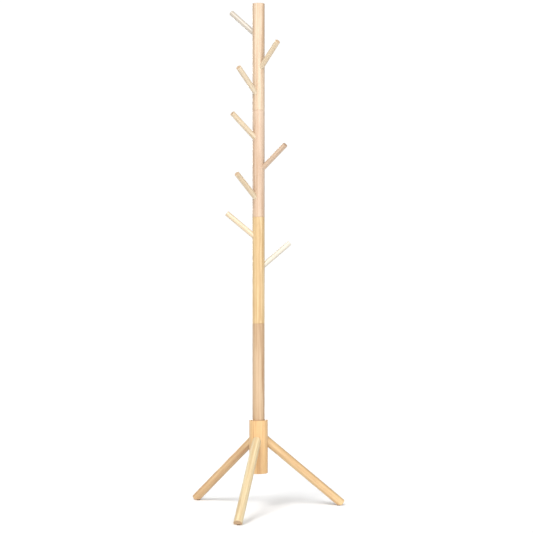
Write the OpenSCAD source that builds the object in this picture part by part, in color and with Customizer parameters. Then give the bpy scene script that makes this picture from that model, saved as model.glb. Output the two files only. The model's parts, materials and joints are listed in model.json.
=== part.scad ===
// Standing coat rack: four screwed pole sections on a hub with three splayed legs.
// Eight round pegs rise from the upper three sections.
// Frame: +Z up, +Y to the back, origin on the pole's axis at floor level.

/* [Pole] */
// Diameter of the pole
pole_d = 42; // [40:1:46]
// Length of one pole section
section_l = 365; // [345:5:400]
// Chamfer at both ends of a pole section
pole_chamfer = 0.8; // [0.4:0.2:1.6]

/* [Hub] */
// Diameter of the hub
hub_d = 64; // [62:1:72]
// Length of the hub
hub_l = 183; // [170:1:200]
// Height of the hub's lower end above the floor
hub_z = 127; // [120:1:135]
// Depth that the pole sinks into the hub
socket_depth = 33; // [28:1:34]

/* [Legs] */
// Diameter of a leg
leg_d = 30; // [28:1:32]
// Slope of the legs below horizontal, in degrees
leg_tilt = 40; // [38:1:42]
// Height at which the leg axes meet the pole's axis
leg_meet_z = 262; // [258:1:266]
// Direction of the first leg, in degrees from +X
leg_azimuth = 17.2; // [0:0.4:60]
// Height cut off the lowest corner of a foot, to seat its pad
foot_cut = 7.5; // [7:0.5:9]

/* [Pads] */
// Diameter of a foot pad
pad_d = 13; // [11:0.5:13]
// Thickness of a foot pad
pad_t = 3; // [2:0.5:5]

/* [Pegs] */
// Diameter of a peg
peg_d = 18; // [16:1:19]
// Slope of the pegs above horizontal, in degrees
peg_tilt = 40; // [36:1:44]
// Distance from the pole's axis to a peg's tip, along the peg
peg_reach = 143; // [121:2:169]

/* [Threads] */
// Diameter of the studs between the pole sections
pole_stud_d = 10; // [8:1:10]
// Diameter of the studs that hold the legs
leg_stud_d = 8; // [6:1:8]
// Diameter of the studs that hold the pegs
peg_stud_d = 6; // [5:1:6]
// Radial clearance of every turning fit
fit_gap = 0.05; // [0.02:0.01:0.1]

/* [Hidden] */
$fn = 96;
past = 1;                 // how far a cutting tool runs past the face that it opens
insert_wall = 2;          // wall of a brass insert at the pole and at the legs
peg_insert_wall = 1.5;    // wall of a brass insert at the pegs
leg_count = 3;

// Engaged length of each thread, and how far its stud runs into the wood that it is glued in
pole_grip = 18;
pole_root = 24;
leg_grip = 10;
leg_root = 25;
peg_grip = 12;
peg_root = 22;

// Distance from the pole's axis to the flat seat of a peg and of a leg, along its own axis
peg_seat = 19;
leg_seat = 27;
edge = 1;                 // chamfer at the free ends of the pegs, legs and hub
stud_edge = 0.6;          // chamfer at the ends of the studs

pole_z = hub_z + hub_l - socket_depth;
leg_end = (leg_meet_z - leg_d / 2 * cos(leg_tilt) - pad_t + foot_cut) / sin(leg_tilt);
// Radius at which the foot's flat ends, and the pad's centre just inside it
foot_edge_r = leg_end * cos(leg_tilt) - leg_d / 2 * sin(leg_tilt) + foot_cut * tan(leg_tilt);
pad_r = foot_edge_r - pad_d / 2 - 0.8;

// Each peg: its section, counted from the hub; height above the section's end; direction from +X
PEGS = [
    [3, 250, 149],
    [3, 133, 306],
    [3, 46, 232],
    [2, 258, 216],
    [2, 152, 326],
    [2, 53, 228],
    [1, 286, 184],
    [1, 184, 12]
];

function section_z(k) = pole_z + k * section_l;
function peg_z(p) = section_z(p[0]) + p[1];
function leg_direction(n) = leg_azimuth + n * 360 / leg_count;
function section_pegs(k) = [for (p = PEGS) if (p[0] == k) p];

// A round rod along +Z from 0, with a chamfer at its lower and its upper end
module rod(d, l, low, high) {
    rotate_extrude()
        polygon([
            [0, 0], [d / 2 - low, 0], [d / 2, low],
            [d / 2, l - high], [d / 2 - high, l], [0, l]
        ]);
}

// A brass insert: a tube along +Z whose mouth is at 0 and which runs down from there
module insert(stud_d, wall, l) {
    translate([0, 0, -l])
        difference() {
            cylinder(d = stud_d + 2 * wall, h = l);
            translate([0, 0, -past]) cylinder(d = stud_d + 2 * fit_gap, h = l + 2 * past);
        }
}

// The hole in the wood that an insert is pressed into, a little deeper than the insert
module insert_hole(stud_d, wall, l) {
    translate([0, 0, -l - past]) cylinder(d = stud_d + 2 * wall, h = l + 2 * past);
}

// A stud: grip below 0, root above it
module stud(d, grip, root) {
    translate([0, 0, -grip]) rod(d, grip + root, stud_edge, stud_edge);
}

// The blind hole that a stud's root turns in
module root_hole(stud_d, root) {
    translate([0, 0, -past]) cylinder(d = stud_d + 2 * fit_gap, h = root + past + 0.3);
}

// Places its child with +Z along a peg's axis, with 0 at the peg's seat
module on_peg(p) {
    translate([0, 0, peg_z(p)])
        rotate([0, 90 - peg_tilt, p[2]])
            translate([0, 0, peg_seat]) children();
}

// Places its child with +Z along a leg's axis, with 0 at the leg's seat
module on_leg(n) {
    translate([0, 0, leg_meet_z])
        rotate([0, 90 + leg_tilt, leg_direction(n)])
            translate([0, 0, leg_seat]) children();
}

// What a peg takes out of the pole: a flat-bottomed seat and the hole for its insert
module peg_socket() {
    cylinder(d = peg_d + 2 * fit_gap, h = pole_d);
    insert_hole(peg_stud_d, peg_insert_wall, peg_grip + 1);
}

module pole_section(k, insert_above) {
    color("burlywood")
        difference() {
            translate([0, 0, section_z(k)])
                rod(pole_d, section_l, pole_chamfer, pole_chamfer);
            translate([0, 0, section_z(k)]) root_hole(pole_stud_d, pole_root);
            if (insert_above)
                translate([0, 0, section_z(k + 1)])
                    insert_hole(pole_stud_d, insert_wall, pole_grip + 1);
            for (p = section_pegs(k)) on_peg(p) peg_socket();
        }
}

module pole_stud(k) {
    color("silver") translate([0, 0, section_z(k)]) stud(pole_stud_d, pole_grip, pole_root);
}

// The insert that takes the stud of section k
module pole_insert(k) {
    color("gold")
        translate([0, 0, section_z(k)]) insert(pole_stud_d, insert_wall, pole_grip + 1);
}

module peg(n) {
    color("wheat")
        on_peg(PEGS[n - 1])
            difference() {
                rod(peg_d, peg_reach - peg_seat, 0.3, edge);
                root_hole(peg_stud_d, peg_root);
            }
}

module peg_stud(n) {
    color("silver") on_peg(PEGS[n - 1]) stud(peg_stud_d, peg_grip, peg_root);
}

module peg_inserts(k) {
    color("gold")
        for (p = section_pegs(k))
            on_peg(p) insert(peg_stud_d, peg_insert_wall, peg_grip + 1);
}

module hub() {
    color("burlywood")
        difference() {
            translate([0, 0, hub_z]) rod(hub_d, hub_l, edge, edge);
            translate([0, 0, pole_z])
                cylinder(d = pole_d + 2 * fit_gap, h = socket_depth + past);
            translate([0, 0, pole_z]) insert_hole(pole_stud_d, insert_wall, pole_grip + 1);
            for (n = [0:leg_count - 1])
                on_leg(n) {
                    cylinder(d = leg_d + 2 * fit_gap, h = hub_d);
                    insert_hole(leg_stud_d, insert_wall, leg_grip + 1);
                }
        }
}

module leg(n) {
    color("burlywood")
        difference() {
            on_leg(n)
                difference() {
                    rod(leg_d, leg_end - leg_seat, 0.3, edge);
                    root_hole(leg_stud_d, leg_root);
                }
            // the flat under the foot
            translate([-leg_end, -leg_end, pad_t - leg_end])
                cube([2 * leg_end, 2 * leg_end, leg_end]);
        }
}

module leg_stud(n) {
    color("silver") on_leg(n) stud(leg_stud_d, leg_grip, leg_root);
}

module leg_inserts() {
    color("gold")
        for (n = [0:leg_count - 1]) on_leg(n) insert(leg_stud_d, insert_wall, leg_grip + 1);
}

module foot_pad(n) {
    color("dimgray")
        rotate([0, 0, leg_direction(n)]) translate([pad_r, 0, 0]) rod(pad_d, pad_t, 0.6, 0);
}

hub();
pole_section(0, true);  // pole_bottom
pole_section(1, true);  // pole_lower
pole_section(2, true);  // pole_upper
pole_section(3, false);  // pole_top
pole_stud(0);  // pole_stud_bottom
pole_stud(1);  // pole_stud_lower
pole_stud(2);  // pole_stud_upper
pole_stud(3);  // pole_stud_top
pole_insert(0);  // hub_insert
pole_insert(1);  // pole_insert_bottom
pole_insert(2);  // pole_insert_lower
pole_insert(3);  // pole_insert_upper
peg(1);  // peg_1
peg(2);  // peg_2
peg(3);  // peg_3
peg(4);  // peg_4
peg(5);  // peg_5
peg(6);  // peg_6
peg(7);  // peg_7
peg(8);  // peg_8
peg_stud(1);  // peg_stud_1
peg_stud(2);  // peg_stud_2
peg_stud(3);  // peg_stud_3
peg_stud(4);  // peg_stud_4
peg_stud(5);  // peg_stud_5
peg_stud(6);  // peg_stud_6
peg_stud(7);  // peg_stud_7
peg_stud(8);  // peg_stud_8
peg_inserts(3);  // peg_inserts_top
peg_inserts(2);  // peg_inserts_upper
peg_inserts(1);  // peg_inserts_lower
leg(0);  // leg_right
leg(1);  // leg_left
leg(2);  // leg_front
leg_stud(0);  // leg_stud_right
leg_stud(1);  // leg_stud_left
leg_stud(2);  // leg_stud_front
leg_inserts();
foot_pad(0);  // foot_pad_right
foot_pad(1);  // foot_pad_left
foot_pad(2);  // foot_pad_front
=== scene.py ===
"""Standing coat rack: materials, threads, pads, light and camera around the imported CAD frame.

Units are metres. Seats and directions come from the frame's joints, sizes from its nodes.
"""
import json
import math

import bpy
from mathutils import Matrix, Vector

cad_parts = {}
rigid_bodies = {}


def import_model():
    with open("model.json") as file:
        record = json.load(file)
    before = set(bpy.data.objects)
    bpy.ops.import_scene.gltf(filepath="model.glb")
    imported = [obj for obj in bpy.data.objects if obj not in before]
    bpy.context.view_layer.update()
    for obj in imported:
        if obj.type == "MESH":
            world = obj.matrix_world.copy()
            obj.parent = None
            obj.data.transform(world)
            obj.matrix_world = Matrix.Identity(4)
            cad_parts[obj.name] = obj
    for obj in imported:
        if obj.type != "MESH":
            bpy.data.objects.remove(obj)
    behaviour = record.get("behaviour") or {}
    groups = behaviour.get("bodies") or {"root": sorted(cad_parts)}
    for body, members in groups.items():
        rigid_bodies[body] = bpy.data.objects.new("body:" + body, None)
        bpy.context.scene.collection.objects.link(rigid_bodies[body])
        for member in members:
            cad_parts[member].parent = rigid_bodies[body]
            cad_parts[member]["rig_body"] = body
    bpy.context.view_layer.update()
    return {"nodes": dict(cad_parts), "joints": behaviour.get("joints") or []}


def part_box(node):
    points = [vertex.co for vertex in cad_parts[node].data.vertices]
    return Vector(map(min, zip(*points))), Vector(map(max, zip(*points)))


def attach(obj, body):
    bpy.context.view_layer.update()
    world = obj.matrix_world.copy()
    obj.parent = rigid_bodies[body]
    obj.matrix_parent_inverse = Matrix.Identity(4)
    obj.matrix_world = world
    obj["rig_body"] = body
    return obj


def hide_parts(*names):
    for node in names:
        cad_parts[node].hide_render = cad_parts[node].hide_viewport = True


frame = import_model()
nodes = frame["nodes"]

MM = 0.001
UP = Vector((0.0, 0.0, 1.0))
PITCHES = {"pole": 1.5 * MM, "peg": 1.0 * MM, "leg": 1.25 * MM}

# Where each screwed piece sits: {piece: (seat point, direction in which it comes off)}
SEATS = {
    joint["name"][: -len("_turn")]: (Vector(joint["pos_m"]), Vector(joint["axis"]).normalized())
    for joint in frame["joints"]
    if joint["name"].endswith("_turn")
}
PEGS = sorted(name for name in SEATS if name.startswith("peg_"))
LEGS = sorted(name for name in SEATS if name.startswith("leg_"))
SECTIONS = ["pole_bottom", "pole_lower", "pole_upper", "pole_top"]


# ---------------------------------------------------------------- measuring the frame


def along(node, point, axis):
    """(start, end, radius) of a node about the line through point along axis."""
    low, high, radius = math.inf, -math.inf, 0.0
    for vertex in nodes[node].data.vertices:
        reach = vertex.co - point
        step = reach.dot(axis)
        low, high = min(low, step), max(high, step)
        radius = max(radius, (reach - axis * step).length)
    return low, high, radius


def loose_parts(node):
    """The vertex groups of a node's separate solids, as lists of points."""
    mesh = nodes[node].data
    parent = list(range(len(mesh.vertices)))

    def root(i):
        while parent[i] != i:
            parent[i] = parent[parent[i]]
            i = parent[i]
        return i

    where = {}
    for vertex in mesh.vertices:
        key = tuple(round(c, 7) for c in vertex.co)
        parent[vertex.index] = where.setdefault(key, vertex.index)
    for polygon in mesh.polygons:
        first = root(polygon.vertices[0])
        for other in polygon.vertices[1:]:
            parent[root(other)] = first
    groups = {}
    for vertex in mesh.vertices:
        groups.setdefault(root(vertex.index), []).append(vertex.co.copy())
    return list(groups.values())


# ---------------------------------------------------------------- shader helpers


def tint(red, green, blue):
    """A colour given as display values from 0 to 255, as linear RGBA."""
    linear = [
        c / 12.92 if c <= 0.04045 else ((c + 0.055) / 1.055) ** 2.4
        for c in (red / 255, green / 255, blue / 255)
    ]
    return (*linear, 1.0)


# A Mix node's sockets of each data type: its two inputs, and for colours its output
FLOAT_A, FLOAT_B = 2, 3
COLOUR_A, COLOUR_B, COLOUR_OUT = 6, 7, 2


class Graph:
    """A material's node tree, built one node at a time."""

    def __init__(self, name):
        self.material = bpy.data.materials.new(name)
        self.material.use_nodes = True
        self.tree = self.material.node_tree
        self.tree.nodes.clear()
        self.shader = self.node("ShaderNodeBsdfPrincipled")
        output = self.node("ShaderNodeOutputMaterial")
        self.tree.links.new(self.shader.outputs[0], output.inputs["Surface"])

    def node(self, kind, inputs=None, **settings):
        node = self.tree.nodes.new(kind)
        for key, value in settings.items():
            setattr(node, key, value)
        for key, value in (inputs or {}).items():
            self.feed(node.inputs[key], value)
        return node

    def feed(self, socket, value):
        if isinstance(value, bpy.types.NodeSocket):
            self.tree.links.new(value, socket)
        else:
            socket.default_value = value

    def math(self, operation, a, b=0.0, clamp=False):
        node = self.node("ShaderNodeMath", {0: a, 1: b}, operation=operation, use_clamp=clamp)
        return node.outputs[0]

    def vector(self, operation, a, b=(0.0, 0.0, 0.0)):
        return self.node("ShaderNodeVectorMath", {0: a, 1: b}, operation=operation)

    def noise(self, vector, scale, detail=2.0, roughness=0.5):
        stretched = self.vector("MULTIPLY", vector, scale).outputs[0]
        inputs = {"Vector": stretched, "Scale": 1.0, "Detail": detail, "Roughness": roughness}
        return self.node("ShaderNodeTexNoise", inputs).outputs[0]

    def span(self, value, low, high, to_low=0.0, to_high=1.0):
        """value carried from low..high to to_low..to_high, held at the ends."""
        inputs = {0: value, 1: low, 2: high, 3: to_low, 4: to_high}
        return self.node("ShaderNodeMapRange", inputs, interpolation_type="SMOOTHSTEP").outputs[0]

    def mix(self, amount, a, b):
        inputs = {0: amount, COLOUR_A: a, COLOUR_B: b}
        return self.node("ShaderNodeMix", inputs, data_type="RGBA").outputs[COLOUR_OUT]

    def bump(self, height, distance, strength=1.0):
        inputs = {"Height": height, "Distance": distance, "Strength": strength}
        return self.node("ShaderNodeBump", inputs).outputs[0]

    def finish(self, **sockets):
        for name, value in sockets.items():
            self.feed(self.shader.inputs[name.replace("_", " ").title()], value)
        return self.material


# ---------------------------------------------------------------- materials


RING_WIDTH = 3.1 * MM     # one year's growth
PITH_OFFSET = 35 * MM     # how far the pith lies from the axis of a pole section, leg or peg
HUB_PITH_OFFSET = 55 * MM
RING_DRIFT = 12 * MM      # how far the rings wander sideways along the grain, in all


def wood(name, tone, point, axis, seed, pith=PITH_OFFSET):
    """Clear-lacquered light wood whose grain runs along axis.

    tone gives the colours of the early wood, the late wood and the cut ends. seed picks where
    in the tree the piece comes from. The growth rings are rings about a pith beside the rod, so
    the sides show long lines and arches, and the cut ends show arcs.
    """
    early, late, cut_end = tone
    g = Graph(name)
    turn = axis.rotation_difference(UP).to_matrix()
    shift = -(turn @ point) + Vector((0.0, 0.0, 0.37 * seed))
    coordinates = g.node("ShaderNodeTexCoord")
    place = g.node(
        "ShaderNodeMapping",
        {"Vector": coordinates.outputs["Object"], "Location": shift, "Rotation": turn.to_euler()},
    ).outputs[0]

    # growth rings, with the pith leaning slowly across the rod
    lean = 0.010 + 0.004 * math.sin(seed)
    angle = 2.4 * seed
    waver = g.noise(place, (9.0, 9.0, 2.2), 2.0)
    drift = g.math("MULTIPLY", g.math("SUBTRACT", waver, 0.5), RING_DRIFT)
    parts = g.node("ShaderNodeSeparateXYZ", {0: place})
    slope = g.math("MULTIPLY", parts.outputs[2], lean)
    across = g.math("ADD", g.math("ADD", parts.outputs[0], pith * math.cos(angle)), slope)
    deep = g.math("ADD", g.math("ADD", parts.outputs[1], pith * math.sin(angle)), drift)
    radius = g.vector("LENGTH", g.node("ShaderNodeCombineXYZ", {0: across, 1: deep}).outputs[0])
    ring = g.math("FRACT", g.math("DIVIDE", radius.outputs["Value"], RING_WIDTH))
    rise = g.span(ring, 0.15, 0.86)
    fall = g.span(ring, 0.86, 1.0, 1.0, 0.0)
    late_wood = g.math("MULTIPLY", rise, fall)

    # fibres, streaks, broad patches and pores, all long along the grain
    fibre = g.noise(place, (700.0, 700.0, 14.0), 3.0, 0.6)
    streak = g.noise(place, (170.0, 170.0, 4.0), 2.0)
    patch = g.noise(place, (30.0, 30.0, 5.0), 2.0)
    pores = g.span(g.noise(place, (1500.0, 1500.0, 45.0), 1.0), 0.63, 0.72)

    dark = g.math("MULTIPLY", late_wood, g.span(patch, 0.3, 0.7, 0.35, 0.75))
    dark = g.math("ADD", dark, g.span(patch, 0.35, 0.7, -0.10, 0.30))
    dark = g.math("ADD", dark, g.span(streak, 0.35, 0.7, -0.15, 0.45))
    dark = g.math("ADD", dark, g.span(fibre, 0.3, 0.7, -0.10, 0.16), clamp=True)
    colour = g.mix(dark, early, late)
    colour = g.mix(g.math("MULTIPLY", pores, 0.35), colour, cut_end)

    # cut ends drink more lacquer and look darker
    facing = g.vector("DOT_PRODUCT", coordinates.outputs["Normal"], tuple(axis)).outputs["Value"]
    end = g.span(g.math("ABSOLUTE", facing), 0.6, 0.92)
    ends = g.mix(g.span(late_wood, 0.0, 1.0, 0.45, 1.0), early, cut_end)
    colour = g.mix(end, colour, ends)

    sheen = g.math("ADD", g.span(fibre, 0.3, 0.7, 0.36, 0.50), g.math("MULTIPLY", end, 0.16))
    height = g.math("SUBTRACT", g.math("MULTIPLY", fibre, 0.5), g.math("MULTIPLY", pores, 0.8))
    height = g.math("ADD", height, g.math("MULTIPLY", late_wood, 0.5))
    return g.finish(
        base_color=colour,
        roughness=sheen,
        normal=g.bump(height, 0.00012, 0.6),
        coat_weight=0.22,
        coat_roughness=0.24,
    )


def metal(name, colour, shade, rough, scale):
    """Plated or machined metal with faint tool marks and a mottled finish."""
    g = Graph(name)
    place = g.node("ShaderNodeTexCoord").outputs["Object"]
    mottle = g.noise(place, (scale, scale, scale), 4.0, 0.6)
    marks = g.noise(place, (2600.0, 2600.0, 2600.0), 2.0)
    return g.finish(
        base_color=g.mix(g.span(mottle, 0.35, 0.7), colour, shade),
        metallic=1.0,
        roughness=g.span(marks, 0.3, 0.7, rough, rough + 0.16),
        normal=g.bump(marks, 0.00004, 0.4),
    )


def rubber(name):
    """Dark moulded rubber with a fine matt grain and dusty patches."""
    g = Graph(name)
    place = g.node("ShaderNodeTexCoord").outputs["Object"]
    grain = g.noise(place, (2200.0, 2200.0, 2200.0), 3.0, 0.6)
    dust = g.noise(place, (160.0, 160.0, 160.0), 3.0)
    return g.finish(
        base_color=g.mix(g.span(dust, 0.45, 0.75), tint(52, 44, 38), tint(86, 76, 66)),
        roughness=g.span(grain, 0.3, 0.7, 0.62, 0.82),
        normal=g.bump(grain, 0.0001, 0.7),
    )


# Early wood, late wood and cut ends of each piece; no two boards are quite the same. The pole
# sections' tones also hold painted shade: they grow darker towards the bottom of the pole, standing
# in for the dimmer light lower down.
SECTION_TONES_AND_SHADE = {
    "pole_bottom": (tint(189, 162, 130), tint(160, 126, 90), tint(150, 108, 72)),
    "pole_lower": (tint(205, 180, 137), tint(180, 147, 100), tint(154, 112, 74)),
    "pole_upper": (tint(198, 175, 153), tint(177, 146, 119), tint(156, 116, 84)),
    "pole_top": (tint(203, 182, 157), tint(180, 148, 117), tint(156, 114, 78)),
}
PALE_TONE = (tint(204, 198, 184), tint(184, 174, 156), tint(176, 160, 138))
CREAM_TONE = (tint(210, 194, 168), tint(190, 168, 136), tint(168, 134, 100))
TAN_TONE = (tint(192, 169, 146), tint(166, 137, 111), tint(150, 112, 78))
GREY_TONE = (tint(186, 178, 166), tint(166, 154, 138), tint(158, 144, 124))
PEG_TONES = {"peg_1": GREY_TONE, "peg_5": TAN_TONE, "peg_8": PALE_TONE}
HUB_TONE = (tint(208, 172, 121), tint(182, 136, 85), tint(146, 100, 64))
LEG_TONES = {
    "leg_front": (tint(210, 193, 155), tint(186, 160, 120), tint(150, 108, 74)),
    "leg_left": (tint(200, 170, 127), tint(170, 130, 88), tint(140, 96, 62)),
    "leg_right": (tint(206, 178, 132), tint(184, 145, 101), tint(146, 102, 66)),
}

zinc = metal("zinc_plating", tint(196, 198, 202), tint(168, 170, 174), 0.24, 300.0)
brass = metal("machined_brass", tint(214, 176, 104), tint(190, 148, 82), 0.26, 260.0)
pad_rubber = rubber("pad_rubber")


def dress(node, material):
    """Gives a CAD node its material and smooth shading with crisp edges."""
    mesh = nodes[node].data
    mesh.materials.clear()
    mesh.materials.append(material)
    mesh.shade_smooth()
    mesh.set_sharp_from_angle(angle=math.radians(30))


# ---------------------------------------------------------------- meshes


def to_axis(point, axis):
    """The matrix that carries +Z at the origin to axis at point."""
    return Matrix.Translation(point) @ UP.rotation_difference(axis).to_matrix().to_4x4()


def grid(rows, closed_ends=True):
    """(vertices, faces) of a skin over rings of equal length, capped where asked."""
    count = len(rows[0])
    points = [point for row in rows for point in row]
    faces = []
    for r in range(len(rows) - 1):
        for i in range(count):
            j = (i + 1) % count
            faces.append((r * count + i, r * count + j, (r + 1) * count + j, (r + 1) * count + i))
    if closed_ends:
        faces.append(tuple(reversed(range(count))))
        faces.append(tuple(range(len(points) - count, len(points))))
    return points, faces


def piece(name, skins, place, material):
    """A mesh object made of one or more skins, put in place and given its material."""
    vertices, faces = [], []
    for points, polygons in skins:
        first = len(vertices)
        vertices += [place @ Vector(point) for point in points]
        faces += [tuple(first + i for i in polygon) for polygon in polygons]
    mesh = bpy.data.meshes.new(name)
    mesh.from_pydata(vertices, [], faces)
    mesh.validate()
    mesh.materials.append(material)
    mesh.shade_smooth()
    mesh.set_sharp_from_angle(angle=math.radians(50))
    made = bpy.data.objects.new(name, mesh)
    bpy.context.scene.collection.objects.link(made)
    return made


def thread_wave(turn):
    """A thread's profile over one pitch, from 0 in the groove to 1 on the crest."""
    swing = abs(2.0 * (turn % 1.0) - 1.0)
    return min(1.0, max(0.0, (swing - 0.12) / 0.76))


def stud(name, node, seat, axis, pitch, slices=32):
    """A threaded rod in place of a plain stud: a true helix, with both ends chamfered."""
    low, high, radius = along(node, seat, axis)
    depth = 0.54 * pitch
    rings_per_turn = 8
    steps = round((high - low) / pitch * rings_per_turn)
    rows = []
    for s in range(steps + 1):
        z = low + (high - low) * s / steps
        limit = radius - depth * 1.2 + min(z - low, high - z)
        row = []
        for i in range(slices):
            crest = thread_wave(z / pitch - i / slices)
            r = min(radius - depth * (1.0 - crest), limit)
            angle = 2 * math.pi * i / slices
            row.append((r * math.cos(angle), r * math.sin(angle), z))
        rows.append(row)
    return piece(name, [grid(rows)], to_axis(seat, axis), zinc)


def insert_skin(low, high, outer, bore, pitch, slices=40):
    """A brass insert: a chamfered mouth, a threaded bore and a knurled barrel."""
    groove = min(0.35 * pitch, (outer - bore) * 0.4)
    rings_per_turn = 6
    steps = round((high - low) / pitch * rings_per_turn)
    rows = []
    for s in range(steps + 1):
        z = high - (high - low) * s / steps
        row = []
        for i in range(slices):
            cut = groove * (1.0 - thread_wave(z / pitch - i / slices))
            mouth = max(0.0, groove * 1.5 - min(high - z, z - low))
            r = bore + max(cut, mouth)
            angle = 2 * math.pi * i / slices
            row.append((r * math.cos(angle), r * math.sin(angle), z))
        rows.append(row)
    knurl = 0.12 * MM
    lead_in, rim = 0.25 * MM, 0.1 * MM
    barrel = [(low, lead_in), (low + lead_in, 0.0), (high - rim, 0.0), (high, rim)]
    for z, back in barrel:
        row = []
        for i in range(slices):
            r = outer - 0.01 * MM - back - (knurl if i % 2 else 0.0)
            angle = 2 * math.pi * i / slices
            row.append((r * math.cos(angle), r * math.sin(angle), z))
        rows.append(row)
    rows.append(rows[0])
    points, faces = grid(rows, closed_ends=False)
    # the last ring is the first one again, so its points are shared
    last = len(points) - slices
    faces = [tuple(i - last if i >= last else i for i in face) for face in faces]
    return points[:last], faces


def pad(name, node):
    """A moulded foot pad: rounded rim, slightly hollow sole with a shallow ring groove."""
    low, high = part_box(node)
    middle = (low + high) / 2
    radius = (high.x - low.x) / 2
    tall = high.z - low.z
    rim = 0.9 * MM
    hollow, groove = 0.25 * MM, 0.35 * MM
    outline = [(0.30 * radius, hollow), (0.40 * radius, 0.0), (0.62 * radius, 0.0)]
    outline += [(0.66 * radius, groove), (0.74 * radius, groove), (0.78 * radius, 0.0)]
    outline += [
        (radius - rim + rim * math.sin(a), rim - rim * math.cos(a))
        for a in [math.pi / 2 * k / 6 for k in range(7)]
    ]
    outline += [(radius, tall)]
    slices = 48
    turn = [2 * math.pi * i / slices for i in range(slices)]
    rows = [[(r * math.cos(a), r * math.sin(a), z) for a in turn] for r, z in outline]
    place = Matrix.Translation((middle.x, middle.y, low.z))
    return piece(name, [grid(rows)], place, pad_rubber)


# ---------------------------------------------------------------- the rack


def replace(made, node):
    """Puts a made piece in the place of a CAD node, on the same body."""
    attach(made, nodes[node]["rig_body"])
    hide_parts(node)


def build_inserts(node, seats, pitch):
    """All inserts of one node: seats are the (point, direction) pairs of what screws into them."""
    skins = []
    for points in loose_parts(node):
        centre = sum(points, Vector()) / len(points)
        seat, axis = min(seats, key=lambda s: (s[0] - centre).length)
        steps = [(p - seat).dot(axis) for p in points]
        radii = [(p - seat - axis * (p - seat).dot(axis)).length for p in points]
        skin, faces = insert_skin(min(steps), max(steps), max(radii), min(radii), pitch)
        place = to_axis(seat, axis)
        skins.append(([place @ Vector(p) for p in skin], faces))
    made = piece("brass_" + node, skins, Matrix.Identity(4), brass)
    replace(made, node)


def build_wood():
    # the pole sections' tones hold painted shade: darker towards the bottom of the pole
    for seed, section in enumerate(SECTIONS):
        tone = SECTION_TONES_AND_SHADE[section]
        dress(section, wood(section + "_wood", tone, SEATS[section][0], UP, seed + 1.0))
    dress("hub", wood("hub_wood", HUB_TONE, Vector(), UP, 5.3, pith=HUB_PITH_OFFSET))
    for seed, leg in enumerate(LEGS):
        dress(leg, wood(leg + "_wood", LEG_TONES[leg], *SEATS[leg], seed + 6.1))
    for seed, peg in enumerate(PEGS):
        tone = PEG_TONES.get(peg, CREAM_TONE)
        dress(peg, wood(peg + "_wood", tone, *SEATS[peg], seed + 9.2))


def build_fasteners():
    for name, (seat, axis) in SEATS.items():
        kind, _, rest = name.partition("_")
        node = f"{kind}_stud_{rest}"
        replace(stud(f"threaded_{node}", node, seat, axis, PITCHES[kind]), node)
    pegs = [SEATS[peg] for peg in PEGS]
    legs = [SEATS[leg] for leg in LEGS]
    sections = [SEATS[section] for section in SECTIONS]
    for node in ("peg_inserts_top", "peg_inserts_upper", "peg_inserts_lower"):
        build_inserts(node, pegs, PITCHES["peg"])
    build_inserts("leg_inserts", legs, PITCHES["leg"])
    for node in ("hub_insert", "pole_insert_bottom", "pole_insert_lower", "pole_insert_upper"):
        build_inserts(node, sections, PITCHES["pole"])


def build_pads():
    for leg in LEGS:
        node = leg.replace("leg_", "foot_pad_")
        replace(pad("moulded_" + node, node), node)


# ---------------------------------------------------------------- floor, light and camera


def build_floor():
    slices = 96
    reach = 30.0
    rim = [2 * math.pi * i / slices for i in range(slices)]
    mesh = bpy.data.meshes.new("floor")
    mesh.from_pydata(
        [(reach * math.cos(a), reach * math.sin(a), 0.0) for a in rim], [], [tuple(range(slices))]
    )
    g = Graph("floor_paint")
    mesh.materials.append(g.finish(base_color=tint(249, 249, 249), roughness=0.9))
    floor = bpy.data.objects.new("floor", mesh)
    bpy.context.scene.collection.objects.link(floor)


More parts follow.
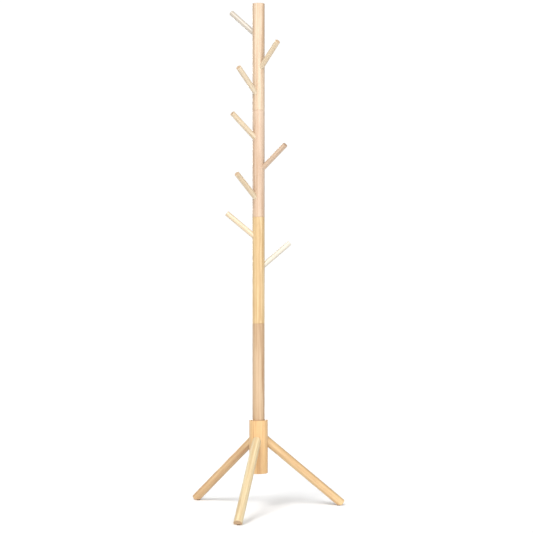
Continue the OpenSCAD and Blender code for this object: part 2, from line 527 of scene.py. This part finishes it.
def softbox(name, direction, angle, strength):
    """A very distant softbox: parallel light from direction, with shadows as soft as its angle."""
    light = bpy.data.lights.new(name, "SUN")
    light.angle = math.radians(angle)
    light.energy = strength
    lamp = bpy.data.objects.new(name, light)
    lamp.rotation_euler = Vector(direction).to_track_quat("Z", "Y").to_euler()
    bpy.context.scene.collection.objects.link(lamp)


def build_light():
    world = bpy.data.worlds.new("studio")
    world.use_nodes = True
    bpy.context.scene.world = world
    tree = world.node_tree
    sky = tree.nodes["Background"]
    sky.inputs["Color"].default_value = (1.0, 1.0, 1.0, 1.0)
    # the camera sees plain white; the light itself is strong from the front and weak from the sides
    direction = tree.nodes.new("ShaderNodeTexCoord")
    parts = tree.nodes.new("ShaderNodeSeparateXYZ")
    fade = tree.nodes.new("ShaderNodeMapRange")
    fade.interpolation_type = "SMOOTHSTEP"
    fade.inputs["From Min"].default_value = -0.80
    fade.inputs["From Max"].default_value = 0.05
    fade.inputs["To Min"].default_value = 1.5
    fade.inputs["To Max"].default_value = 0.30
    seen = tree.nodes.new("ShaderNodeLightPath")
    choice = tree.nodes.new("ShaderNodeMix")
    choice.inputs[FLOAT_B].default_value = 1.02
    tree.links.new(direction.outputs["Generated"], parts.inputs[0])
    tree.links.new(parts.outputs[1], fade.inputs[0])
    tree.links.new(seen.outputs["Is Camera Ray"], choice.inputs[0])
    tree.links.new(fade.outputs[0], choice.inputs[FLOAT_A])
    tree.links.new(choice.outputs[0], sky.inputs["Strength"])
    softbox("key", (-0.30, -0.62, 0.72), 24.0, 1.7)
    softbox("front_fill", (0.30, -0.92, 0.26), 40.0, 1.1)
    # low, so that it lights the back of the rack and hardly the floor
    softbox("back_fill", (-0.15, 0.98, 0.06), 30.0, 1.5)


def build_camera():
    """A long lens straight in front of the rack, a little above half its height."""
    distance, height = 5.23, 0.916
    tilt_down, turn_right = 0.866, 0.30
    data = bpy.data.cameras.new("camera")
    data.sensor_width = 36.0
    data.lens = 102.9
    camera = bpy.data.objects.new("camera", data)
    camera.location = (0.0, -distance, height)
    camera.rotation_euler = (math.radians(90.0 - tilt_down), 0.0, math.radians(-turn_right))
    bpy.context.scene.collection.objects.link(camera)
    bpy.context.scene.camera = camera


build_wood()
build_fasteners()
build_pads()
build_floor()
build_light()
build_camera()
bpy.context.scene.view_settings.view_transform = "Standard"
